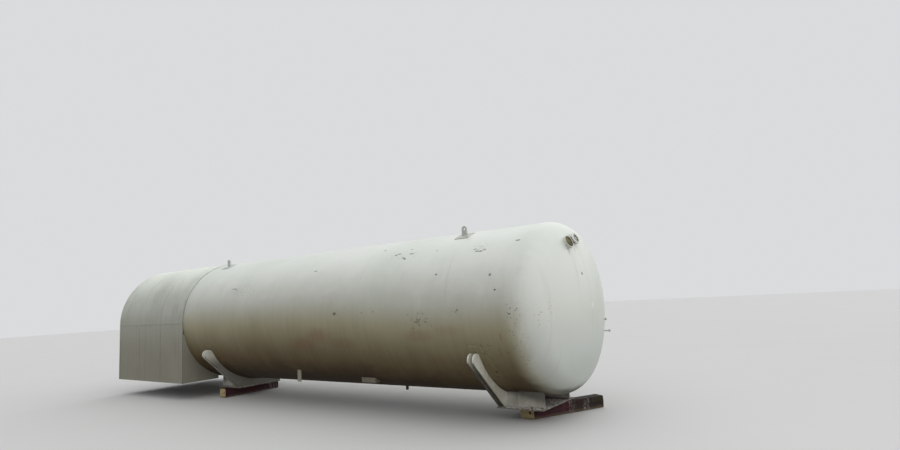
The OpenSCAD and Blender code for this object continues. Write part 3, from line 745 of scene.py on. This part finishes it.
class TANK_OT_finishes(bpy.types.Operator):
    """Writes every finish and gives the CAD pieces theirs"""
    bl_idname = "tank.finishes"
    bl_label = "Finishes"

    def execute(self, context):
        paint = context.scene.tank_paint
        white, grey, rust = paint.shell, paint.saddle, tint(paint.rust, 0.72)
        no_ground = -5.0
        FINISHES.update(
            shell=tank_finish(paint),
            head=tank_finish(paint, True),
            # the saddle's plates share one paint: the webs are painted lighter, as painted light on their
            # front faces
            web_outer=plate_finish("outer_web_paint_with_painted_light", tint(grey, 1.56), rust, under=0.10, edge=0.80),
            web_inner=plate_finish("inner_web_paint_with_painted_light", tint(grey, 1.45), rust, under=0.10, edge=0.86,
                                   between_webs_shade=0.70),
            side=plate_finish("side_plate_paint", tint(grey, 0.94), rust, under=0.10),
            # the side plates carry the painted shadow of the shell above them
            side_front=plate_finish("front_side_plate_paint_and_painted_shadow", tint(grey, 1.04), rust, ground=0.0,
                                    shell_shadow=(5.30, 1)),
            side_rear=plate_finish("rear_side_plate_paint_and_painted_shadow", tint(grey, 1.04), rust, ground=0.0,
                                   shell_shadow=(span("rear_saddle_side_near")[1].x - 0.04, -1)),
            base=plate_finish("base_plate_paint", tint(grey, 1.08), rust, ground=0.20,
                              deck=span("front_saddle_base")[1].z),
            lug=plate_finish("lug_paint", tint(white, 0.70), rust, 0.66, no_ground),
            fitting=plate_finish("fitting_paint", tint(white, 0.86), rust, 0.70, no_ground),
            # the belly fittings are painted darker than their paint is, as painted shade under the tank
            belly=plate_finish("belly_fitting_paint_and_painted_shade", tint(white, 0.46, 0.43, 0.36), rust, 0.68, 0.25),
            box=plate_finish("belly_box_paint_and_painted_shade", tint(white, 0.30, 0.26, 0.21), rust, 0.68, 0.25),
            sheet=sheet_finish(paint),
            cover=cover_finish(tint(white, 1.06)),
            brass=brass_finish(),
            iron=iron_finish(),
        )
        paint_node("shell", *(f"shell_course_{i + 1}" for i in range(COURSES)))
        paint_node("head", "front_head", "rear_head")
        for end in ("front", "rear"):
            paint_node("shell", f"{end}_saddle_pad")
            for web in ("outer", "inner"):
                paint_node(f"web_{web}", f"{end}_saddle_web_{web}")
            paint_node(f"side_{end}", f"{end}_saddle_side_near", f"{end}_saddle_side_far")
            paint_node("base", f"{end}_saddle_base")
            paint_node("lug", f"lifting_lug_{end}_near", f"lifting_lug_{end}_far")
        paint_node("fitting", "relief_port_neck", "head_nipple_upper", "head_nipple_lower")
        paint_node("cover", "pump_port_cover")
        paint_node("belly", "belly_bracket_near", "belly_bracket_far")
        paint_node("box", "belly_box")
        paint_node("brass", "relief_port_plate")
        paint_node("iron", "pump_port_neck", "drain_stub")
        paint_node("sheet", *(n for n in NODES if n.startswith("cabinet_")))
        return {"FINISHED"}


class TANK_OT_shell_welds(bpy.types.Operator):
    """Lays the round seams between courses and heads, and one long seam on each course"""
    bl_idname = "tank.shell_welds"
    bl_label = "Shell Welds"

    def execute(self, context):
        welds = context.scene.tank_welds
        heap = Heap()
        pitch, gap = 0.05, 0.012        # of the ripples, and between a long seam and the round ones
        for k in range(COURSES + 1):
            points, normals = ring(SEAM_FRONT - k * COURSE, RADIUS, steps=400)
            heap.bead(points, normals, welds.width, welds.height, pitch=pitch, closed=True)
        for k, degrees in enumerate((-38, 212, -44, 220, -36, 214)):
            front, rear = SEAM_FRONT - k * COURSE - gap, SEAM_FRONT - (k + 1) * COURSE + gap
            points, normal = lengthwise(degrees, front, rear, 0.024, lift=0.0)
            heap.bead(points, normal, welds.width, welds.height, pitch=pitch)
        heap.piece("shell_seams", "shell", "shell_paint")
        return {"FINISHED"}


class TANK_OT_saddle_details(bpy.types.Operator):
    """Adds fillet welds to the saddles and the two studs on the front base plate"""
    bl_idname = "tank.saddle_details"
    bl_label = "Saddle Welds and Studs"

    def execute(self, context):
        leg = context.scene.tank_welds.fillet
        proud, step, web_half = 0.002, 0.012, 0.60
        heap, pads, studs = Heap(), Heap(), Heap()
        for end in ("front", "rear"):
            low, high = span(f"{end}_saddle_pad")
            mid, wide, upper = (low.x + high.x) / 2, (high.x - low.x) / 2, high.z
            edge = math.degrees(math.asin((AXIS - upper) / (RADIUS + DOUBLER)))
            for way in (-1, 1):
                points, normals = ring(mid, RADIUS + 0.001, 180 + edge, 360 - edge, 300)
                for q in points:
                    taper = min(max((upper - q.z) / PAD_TAPER, 0.0), 1.0)
                    q.x += way * (PAD_HALF + (wide - PAD_HALF) * taper)
                pads.bead(points, normals, leg * 1.2)
            for degrees in (180 + edge, 360 - edge):
                pads.bead(*lengthwise(degrees, mid - PAD_HALF, mid + PAD_HALF, step), leg * 1.2)
            deck = span(f"{end}_saddle_base")[1].z + proud
            for web in ("outer", "inner"):
                low, high = span(f"{end}_saddle_web_{web}")
                for x, out in ((low.x - proud, -X), (high.x + proud, X)):
                    heap.bead(line((x, -web_half, deck), (x, web_half, deck), step), out + Z, leg, sink=0.003)
                    points, normals = ring(x, RADIUS + DOUBLER + proud, 208, 332, 220)
                    pads.bead(points, [n + out for n in normals], leg, sink=0.003)
            for side in ("near", "far"):
                low, high = span(f"{end}_saddle_side_{side}")
                for y, out in ((low.y - proud, -Y), (high.y + proud, Y)):
                    points = line((low.x + 0.004, y, deck), (high.x - 0.004, y, deck), step)
                    heap.bead(points, out + Z, leg * 0.9, sink=0.003)
        heap.piece("saddle_welds", "side", "saddle_paint")
        pads.piece("wear_pad_welds", "shell", "saddle_paint")
        low, high = span("front_saddle_base")
        margin = (span("front_saddle_side_near")[0].y + low.y) / 2
        for back in (0.045, 0.242):
            nut_and_stud(studs, (high.x - back, margin, high.z), 0.013, 0.020)
        studs.piece("base_studs", "iron", "dark_iron")
        return {"FINISHED"}


class TANK_OT_lug_details(bpy.types.Operator):
    """Adds the fillet welds round the lifting lugs and their doubler plates"""
    bl_idname = "tank.lug_details"
    bl_label = "Lug Welds"

    def execute(self, context):
        leg = context.scene.tank_welds.fillet * 0.8
        reach = 5                       # degrees of the doubler plate to both sides of the lug
        heap = Heap()
        for end in ("front", "rear"):
            for side, way in (("near", -1), ("far", 1)):
                low, high = span(f"lifting_lug_{end}_{side}")
                mid = (low.x + high.x) / 2
                foot = 90 - way * math.degrees(math.asin(LUG_OUT / RADIUS))
                for degrees in (foot - reach, foot + reach):
                    heap.bead(*lengthwise(degrees, low.x, high.x, 0.010), leg * 1.4)
                for x in (low.x, high.x):
                    heap.bead(*ring(x, RADIUS + 0.001, foot - reach, foot + reach, 26), leg * 1.4)
                for face in (-1, 1):
                    y = way * LUG_OUT + face * LUG_HALF_THICK
                    z = AXIS + math.sqrt((RADIUS + DOUBLER) ** 2 - y * y)
                    points = line((mid - 0.055, y, z), (mid + 0.055, y, z), 0.008)
                    heap.bead(points, Y * face + Z, leg * 1.2, pitch=0.02)
        heap.piece("lug_welds", "lug", "lug_paint")
        return {"FINISHED"}


class TANK_OT_head_details(bpy.types.Operator):
    """Adds the bolts, gasket and welds of the two ports and the nipples"""
    bl_idname = "tank.head_details"
    bl_label = "Head Fittings"

    def execute(self, context):
        bolts, gasket, welds = Heap(), Heap(), Heap()
        skin = DISH - 0.001

        def port(roll, height, neck, steps, spread, count, bolt, sides, flat=None):
            """The neck's weld and the bolts round a port's face, which stands at a height over the dish."""
            n = port_way(roll)
            u = n.orthogonal().normalized()
            v = n.cross(u)
            foot, face = DISH_CENTRE + n * skin, DISH_CENTRE + n * (DISH + height)
            welds.collar(circle(foot, u, v, neck, steps), foot, n, 1, 0.014, 0.006, sink=0.006)
            for spot in circle(face, u, v, spread, count):
                bolts.turned(bolt, spot, n, sides, flat)
            return n, u, v, face

        n, u, v, face = port(RELIEF_ROLL, 0.062, 0.114, 90, 0.105, 8,
                             ((0.0055, -0.001), (0.0055, 0.003), (0.003, 0.0048)), 12)
        plate = face - n * 0.010
        gasket.collar(circle(plate, u, v, 0.093, 72), face, n, 0, 0.010, sink=0.002, ripple=0)
        pin = ((0.007, -0.002), (0.007, 0.006), (0.004, 0.008))
        for a in (-0.05, 0.05):
            gasket.turned(pin, plate + u * a + v * 0.018, n, 16)
        n, u, v, face = port(PUMP_ROLL, 0.074, 0.068, 60, 0.083, 10,
                             ((0.0085, -0.001), (0.0085, 0.005), (0.0065, 0.0065)), 18, 0.0078)
        joint = face - n * 0.028
        gasket.collar(circle(joint, u, v, 0.100, 72), joint, Vector(), 1, 0.008, sink=0.002, ripple=0)
        bolts.turned(((0.020, -0.002), (0.020, 0.006), (0.016, 0.009)), face - n * 0.012, n, 24, 0.0185)
        for name in ("head_nipple_upper", "head_nipple_lower"):
            low, high = span(name)
            y, z = (low.y + high.y) / 2, (low.z + high.z) / 2
            root = Vector((DISH_CENTRE.x + math.sqrt(DISH ** 2 - y ** 2 - (z - AXIS) ** 2), y, z))
            foot = [DISH_CENTRE + (q - DISH_CENTRE).normalized() * skin
                    for q in circle(root, Y, Z, 0.014, 36)]
            welds.collar(foot, root, (root - DISH_CENTRE).normalized(), 0.8, 0.010, sink=0.005, pitch=0.02)
            gasket.turned(((0.0215, -0.001), (0.0222, 0.001), (0.0222, 0.003), (0.0215, 0.005)),
                          (high.x - 0.020, y, z), X, 36)
        bolts.piece("port_bolts", "fitting", "fitting_paint")
        gasket.piece("port_gaskets", "iron", "dark_iron")
        welds.piece("port_welds", "head", "head_paint")
        return {"FINISHED"}


class TANK_OT_belly_details(bpy.types.Operator):
    """Adds the welds of the belly fittings and the drain's collar"""
    bl_idname = "tank.belly_details"
    bl_label = "Belly Fittings"

    def execute(self, context):
        heap = Heap()
        for name, lean, step, pitch in (("bracket_near", 1, 0.008, 0.02), ("bracket_far", 1, 0.008, 0.02),
                                        ("box", 0.6, 0.010, 0.025)):
            low, high = span(f"belly_{name}")
            for y, out in ((low.y, -Y), (high.y, Y)):
                z = AXIS - math.sqrt(RADIUS ** 2 - y * y)
                points = line((low.x, y, z), (high.x, y, z), step)
                heap.bead(points, out - Z * lean, 0.012, sink=0.008, pitch=pitch)
        # the box, the last of the three, is also welded across its two ends
        arc = [270 + math.degrees(math.asin(y / RADIUS)) for y in (low.y, high.y)]
        for x, out in ((low.x, -X), (high.x, X)):
            points, normals = ring(x, RADIUS, *arc, 30)
            heap.bead(points, [n * 0.6 + out for n in normals], 0.012, sink=0.008, pitch=0.025)
        low, high = span("drain_stub")
        mid = Vector(((low.x + high.x) / 2, (low.y + high.y) / 2, AXIS - RADIUS))
        heap.collar(circle(mid, X, Y, 0.031, 48), mid, -Z, 1, 0.012, sink=0.006, pitch=0.02)
        heap.piece("belly_welds", "belly", "fitting_paint")
        return {"FINISHED"}


class TANK_OT_cabinet_sheets(bpy.types.Operator):
    """Builds the cabinet's roof and side sheets with their joints, cover strips and rivets"""
    bl_idname = "tank.cabinet_sheets"
    bl_label = "Cabinet Sheets"

    def execute(self, context):
        cab = context.scene.tank_cabinet
        outer = CAD_BOX[1].y
        skin = RADIUS + (outer - RADIUS) * 0.5
        bottom = AXIS - RADIUS
        length = ROOF_FRONT - ROOF_REAR

        def wave(x, s):
            """How far a sheet bellies in at a place: none at the bay lines and edges."""
            bay = min(max((x - ROOF_REAR) / length * SHEET_BAYS, 0.0), SHEET_BAYS)
            inside = math.sin(math.pi * (bay % 1.0)) ** 2
            return cab.wave * inside * (0.5 + 0.5 * noise.noise(Vector((x * 1.7, s * 1.1, 4.0))))

        def sheet(name, replaced, parts, point):
            """A thin sheet as long as the cabinet. point(x, t, out) is a place on it, out from the axis."""
            long = 66
            verts = [point(ROOF_REAR + length * i / long, j / parts, out)
                     for out in (RADIUS, skin) for i in range(long + 1) for j in range(parts + 1)]
            row, count = parts + 1, (long + 1) * (parts + 1)
            faces = []
            for i in range(long):
                for a in range(i * row, i * row + parts):
                    quad = (a, a + row, a + row + 1, a + 1)
                    faces += [quad, tuple(v + count for v in reversed(quad))]
            rims = [(i * row + j, (i + 1) * row + j) for i in range(long) for j in (0, parts)]
            rims += [(i * row + j, i * row + j + 1) for j in range(parts) for i in (0, long)]
            faces += [(a, b, b + count, a + count) for a, b in rims]
            new_piece(name, verts, faces, FINISHES["sheet"], 30, (replaced,))

        def roof_point(x, t, out):
            a = math.pi * t
            lip = math.sin(a) if x < ROOF_CLEAR else 0.0
            return Vector((x, 0, AXIS)) + outward(180 * t) * (out - wave(x, a * RADIUS) * lip)

        sheet("cabinet_roof_skin", "cabinet_roof", 96, roof_point)
        for side, way in (("near", -1), ("far", 1)):
            def side_point(x, t, out):
                belly = wave(x, t * 1.5) * math.sin(math.pi * t)
                return Vector((x, way * (out - belly), bottom + RADIUS * t))

            sheet(f"cabinet_side_skin_{side}", f"cabinet_side_{side}", 30, side_point)
        # cover strips over the joints from side to side, with two rows of rivets
        strips, rivets = Heap(), Heap()
        half = cab.strip / 2
        top = (outer - skin) * 0.62
        drops = [AXIS - RADIUS * k / 24 for k in range(1, 25)]
        hoop = [(Y, Vector((0, skin, z))) for z in reversed(drops)]
        hoop += [(n, Vector((0, 0, AXIS)) + n * skin) for n in (outward(180 * j / 120) for j in range(121))]
        hoop += [(-Y, Vector((0, -skin, z))) for z in drops]
        rise = max(0.0006, outer - skin - top)
        rivet = [(cab.rivet * 0.62 * r, rise * h) for r, h in ((1, 0), (0.85, 0.55), (0.4, 0.9))]
        joints = [ROOF_REAR + length * k / SHEET_BAYS for k in range(1, SHEET_BAYS)]
        for x in (ROOF_REAR + half, *joints, ROOF_FRONT - half):
            strips.loft([flat_section(q + X * x, X, n, half, top * 0.8, top) for n, q in hoop])
            for n, q in hoop[2:-1:3]:
                for off in (-half * 0.45, half * 0.45):
                    rivets.turned(rivet, q + X * (x + off) + n * (top * 0.9), n, 10)
        # rails where roof and sides meet, and along the sides' lower edges
        for n in (-Y, Y):
            for z in (AXIS, bottom + half):
                strips.loft([flat_section(X * x + n * skin + Z * z, Z, n, half, top * 0.7, top * 0.9)
                             for x in (ROOF_REAR, ROOF_FRONT)])
        strips.piece("cabinet_strips", "sheet", "cabinet_paint", 25)
        rivets.piece("cabinet_rivets", "sheet", "cabinet_paint", 60)
        return {"FINISHED"}


class TANK_OT_cabinet_doors(bpy.types.Operator):
    """Adds hinges, stiffeners and a lock handle to the cabinet's end"""
    bl_idname = "tank.cabinet_doors"
    bl_label = "Cabinet Doors"

    def execute(self, context):
        face = span("cabinet_door_near")[0].x
        heap, iron = Heap(), Heap()

        def bar(y0, z0, y1, z1, width):
            """A pressed stiffener on the doors; heights are from the tank's axis."""
            a, b = Vector((face, y0, AXIS + z0)), Vector((face, y1, AXIS + z1))
            across = (b - a).normalized().cross(X)
            heap.loft([flat_section(q, across, -X, width / 2, 0.006, 0.008, 0.84, 0.002) for q in (a, b)])

        for way in (-1, 1):
            for z in (-1.30, -0.62, 0.06):
                bar(way * 0.12, z, way * 1.30, z, 0.045)
            bar(way * 0.060, -1.38, way * 0.060, 1.36, 0.040)
            bar(way * 0.12, 0.80, way * 0.98, 0.80, 0.045)
            # hinges: barrel, pin end and the washer beside it
            for z in (-1.15, -0.50, 0.10):
                hinge = Vector((face, way * 1.448, AXIS + z))
                barrel = hinge - X * 0.0125 - Z * 0.065
                iron.turned([(0.009, 0), (0.0105, 0.002), (0.0105, 0.128), (0.009, 0.130)], barrel, Z, 20)
                iron.turned([(0.006, 0), (0.006, 0.010)], barrel + Z * 0.130, Z, 14)
                heap.turned([(0.024, -0.002), (0.024, 0.004), (0.022, 0.005)],
                            hinge - Y * (way * 0.045), -X, 20)
        # lock handle: rose, spindle and lever
        lock = Vector((face, 0.055, AXIS - 0.22))
        iron.turned([(0.030, -0.002), (0.030, 0.004), (0.026, 0.007)], lock, -X, 28)
        iron.turned([(0.011, 0), (0.011, 0.020), (0.008, 0.024)], lock, -X, 20)
        iron.turned([(0.007, -0.012), (0.009, 0.0), (0.008, 0.110), (0.006, 0.122)],
                    lock - X * 0.017, (0, 0.15, -1), 16)
        heap.piece("cabinet_door_stiffeners", "sheet", "cabinet_paint", 25)
        iron.piece("cabinet_door_irons", "iron", "dark_iron")
        return {"FINISHED"}


def weathered_sleeper(name, seed, timber):
    """One sleeper in place of its CAD block, with worn corners, drying cracks and sawn ends."""
    corners = [v.co for v in NODES[name].data.vertices]
    top = max(q.z for q in corners)
    plan = sorted({(round(q.x, 4), round(q.y, 4)) for q in corners}, key=lambda q: q[1])
    # the near end's two corners and the far end's, each from left to right
    (n0, n1), (f0, f1) = ([Vector((*q, 0)) for q in sorted(end)] for end in (plan[:2], plan[2:]))
    grain = (f1 - n1).normalized()
    side = Vector((grain.y, -grain.x, 0))
    half_wide, half_tall = abs((n1 - n0).dot(side)) / 2, top / 2
    centre = (n0 + n1 + f0 + f1) / 4 + Z * half_tall
    along, across, tall = 110, 16, 15
    wear_reach, crack_width, cracks_per_metre, sheltered = 0.03, 0.10, 26.0, 0.7

    def worn_point(i, j, k):
        """A point of the block's skin, moved in by wear, cracks and the saw."""
        q = n0.lerp(n1, j / across).lerp(f0.lerp(f1, j / across), i / along)
        q.z = top * k / tall
        rel = q - centre
        u, w, t = rel.dot(side), rel.z, rel.dot(grain)
        from_side, from_top = half_wide - abs(u), half_tall - abs(w)
        on_side, on_top = from_side < 1e-4, from_top < 1e-4
        worn = timber.arris * (0.7 + 0.6 * noise.noise(Vector((t * 3, u * 4, w * 4 + seed))))
        pull = max(0.0, 1.0 - (from_side + from_top) / wear_reach) * worn * 0.5
        move = side * -math.copysign(pull, u) - Z * math.copysign(pull, w)
        across_grain = (w if on_side else u) * cracks_per_metre
        crack = noise.noise(Vector((t * 0.9, across_grain, seed + (5 if on_side else 0))))
        depth = timber.checks * max(0.0, 1 - abs(crack) / crack_width)
        depth += 0.0022 * (0.5 + 0.5 * noise.noise(q * 30.0))
        if on_side:
            move -= side * math.copysign(depth, u)
        if on_top and w > 0:
            move.z -= depth * (0.25 if abs(t) < sheltered else 1.0)    # below the base plate
        if i in (0, along) and not (on_side or on_top):
            move += grain * ((1 if i == 0 else -1) * (0.002 + 0.004 * max(0, noise.noise(q * 16.0))))
        return q + move

    rows, columns, layers = range(along), range(across), range(tall)
    quads = [((i, j, k), (i + 1, j, k), (i + 1, j + 1, k), (i, j + 1, k))
             for i in rows for j in columns for k in (0, tall)]
    quads += [((i, j, k), (i + 1, j, k), (i + 1, j, k + 1), (i, j, k + 1))
              for i in rows for k in layers for j in (0, across)]
    quads += [((i, j, k), (i, j + 1, k), (i, j + 1, k + 1), (i, j, k + 1))
              for j in columns for k in layers for i in (0, along)]
    index = {}
    faces = [tuple(index.setdefault(key, len(index)) for key in quad) for quad in quads]
    body = timber_finish(math.atan2(grain.x, grain.y), f"stained_timber_{name}")
    sawn = end_grain_finish(f"sawn_end_{name}", (n0 + n1) / 2 + Z * (top * 0.52))
    verts = [worn_point(*key) for key in index]
    piece = new_piece(f"{name}_timber", verts, faces, body, 40, (name,))
    piece.data.materials.append(sawn)
    for face in piece.data.polygons:
        if abs(face.normal.dot(grain)) > 0.7 or (name == "front_sleeper" and face.normal.y < -0.8):
            face.material_index = 1


class TANK_OT_sleepers(bpy.types.Operator):
    """Builds the two timber sleepers with worn corners, drying cracks and sawn ends"""
    bl_idname = "tank.sleepers"
    bl_label = "Sleepers"

    def execute(self, context):
        for name, seed in (("front_sleeper", 3), ("rear_sleeper", 11)):
            weathered_sleeper(name, seed, context.scene.tank_timber)
        return {"FINISHED"}


class TANK_OT_stage(bpy.types.Operator):
    """Sets up the floor, the lamps, the surroundings and the camera"""
    bl_idname = "tank.stage"
    bl_label = "Stage"

    def execute(self, context):
        scene = context.scene
        look = scene.tank_stage
        mesh = bpy.data.meshes.new("floor")
        reach = 90.0
        mesh.from_pydata([(-reach, -reach, 0), (reach, -reach, 0), (reach, reach, 0), (-reach, reach, 0)],
                         [], [(0, 1, 2, 3)])
        floor = bpy.data.objects.new("floor", mesh)
        scene.collection.objects.link(floor)
        s = Finish("pale_floor", look.bounce)
        s.coat(s.mix(look.floor, tint(look.floor, 0.96), s.cloud(s.place(), 0.35, 3, 0.5)), s.seen())
        floor.data.materials.append(s.finish(0.85))

        world = bpy.data.worlds.new("pale_surroundings")
        scene.world = world
        w = Shader(world)
        ambient = w.node("ShaderNodeBackground", {}, {"Color": (0.93, 0.97, 1.0), "Strength": look.sky})
        backdrop = w.node("ShaderNodeBackground", {}, {"Color": look.backdrop, "Strength": 1.0})
        both = w.node("ShaderNodeMixShader", {}, {0: w.seen(), 1: ambient, 2: backdrop})
        w.node("ShaderNodeOutputWorld", {}, {"Surface": both})

        def lamp(name, kind, place, way, **settings):
            data = bpy.data.lights.new(name, kind)
            for key, value in settings.items():
                setattr(data, key, value)
            made = bpy.data.objects.new(name, data)
            made.location = place
            made.rotation_euler = Vector(way).to_track_quat("-Z", "Y").to_euler()
            scene.collection.objects.link(made)

        lamp("overhead_light", "SUN", (0, 0, 0), (-0.46, -0.04, -1.0), energy=look.overhead,
             angle=math.radians(150))
        lamp("head_lamp", "AREA", (17.0, -5.5, 4.6), (-11.0, 5.2, -3.0), energy=look.front,
             shape="RECTANGLE", size=9.0, size_y=5.0, color=(0.99, 1.0, 1.0))

        data = bpy.data.cameras.new("camera")
        data.sensor_width = 36.0
        data.lens = 22.4
        data.clip_end = 400.0
        camera = bpy.data.objects.new("camera", data)
        # as solved from the tank's outline in the photograph
        right = Vector((0.8130, 0.5797, -0.0554)).normalized()
        ahead = Vector((-0.5698, 0.8115, 0.1293)).normalized()
        up = right.cross(ahead).normalized()
        right = ahead.cross(up).normalized()
        turn = Matrix((right, up, -ahead)).transposed().to_4x4()
        camera.matrix_world = Matrix.Translation((10.381, -9.259, AXIS + 0.246)) @ turn
        scene.collection.objects.link(camera)
        scene.camera = camera
        scene.view_settings.view_transform = "Standard"
        return {"FINISHED"}


class TANK_PT_panel(bpy.types.Panel):
    """Lists the tank's dressing steps and their settings"""
    bl_idname = "TANK_PT_panel"
    bl_label = "Pressure Tank"
    bl_space_type = "VIEW_3D"
    bl_region_type = "UI"
    bl_category = "Tank"

    def draw(self, context):
        for group, name in GROUPS.items():
            box = self.layout.box()
            for key in group.__annotations__:
                box.prop(getattr(context.scene, name), key)
        for step in STEPS:
            self.layout.operator(step.bl_idname)


GROUPS = {
    TankPaint: "tank_paint",
    TankWelds: "tank_welds",
    TankCabinet: "tank_cabinet",
    TankTimber: "tank_timber",
    TankStage: "tank_stage",
}
STEPS = (
    TANK_OT_finishes, TANK_OT_shell_welds, TANK_OT_saddle_details, TANK_OT_lug_details,
    TANK_OT_head_details, TANK_OT_belly_details, TANK_OT_cabinet_sheets, TANK_OT_cabinet_doors,
    TANK_OT_sleepers, TANK_OT_stage,
)


def register():
    for cls in (*GROUPS, *STEPS, TANK_PT_panel):
        bpy.utils.register_class(cls)
    for group, name in GROUPS.items():
        setattr(bpy.types.Scene, name, bpy.props.PointerProperty(type=group))


def unregister():
    for name in GROUPS.values():
        delattr(bpy.types.Scene, name)
    for cls in reversed((*GROUPS, *STEPS, TANK_PT_panel)):
        bpy.utils.unregister_class(cls)


def main():
    register()
    for step in STEPS:
        family, action = step.bl_idname.split(".")
        getattr(getattr(bpy.ops, family), action)()


if __name__ == "__main__":
    main()
